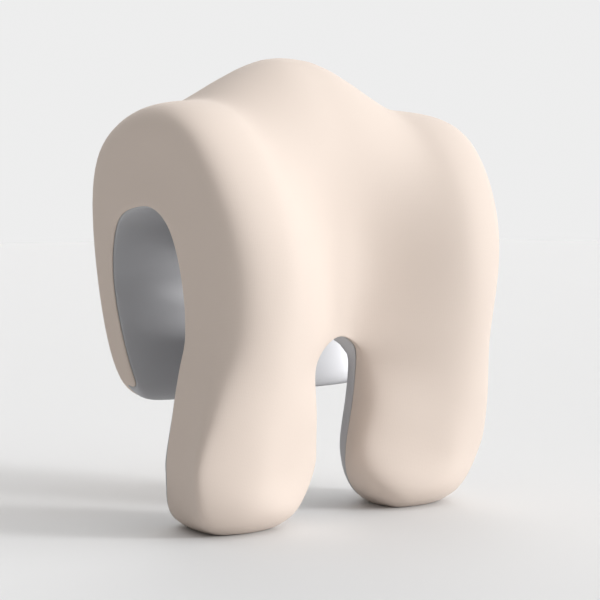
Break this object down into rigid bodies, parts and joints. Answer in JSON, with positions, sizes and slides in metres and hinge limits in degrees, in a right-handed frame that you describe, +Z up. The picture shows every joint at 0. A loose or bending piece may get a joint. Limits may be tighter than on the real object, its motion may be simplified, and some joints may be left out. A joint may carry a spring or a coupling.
{
  "type": "chair headrest pillow",
  "caption": "Saddle-shaped foam headrest pillow that hooks over a chair's backrest, with a head cradle between side bolsters, an arched leg gap and a central top hump.",
  "frame": {"origin": "floor level, under the middle of the pillow's width and depth, as it stands on its two front legs", "axes": "+Z up, -Y towards the front face that the head rests on, X across the width"},
  "size_m": [0.2736, 0.1738, 0.3228],
  "materials": {
    "cover_knit": "smooth matte stretch knit, pale beige pink",
    "lining_mesh": "matte pale grey fabric"
  },
  "bodies": {
    "root": {"pillow_body": "cover_knit", "tunnel_lining": "lining_mesh"}
  },
  "joints": []
}
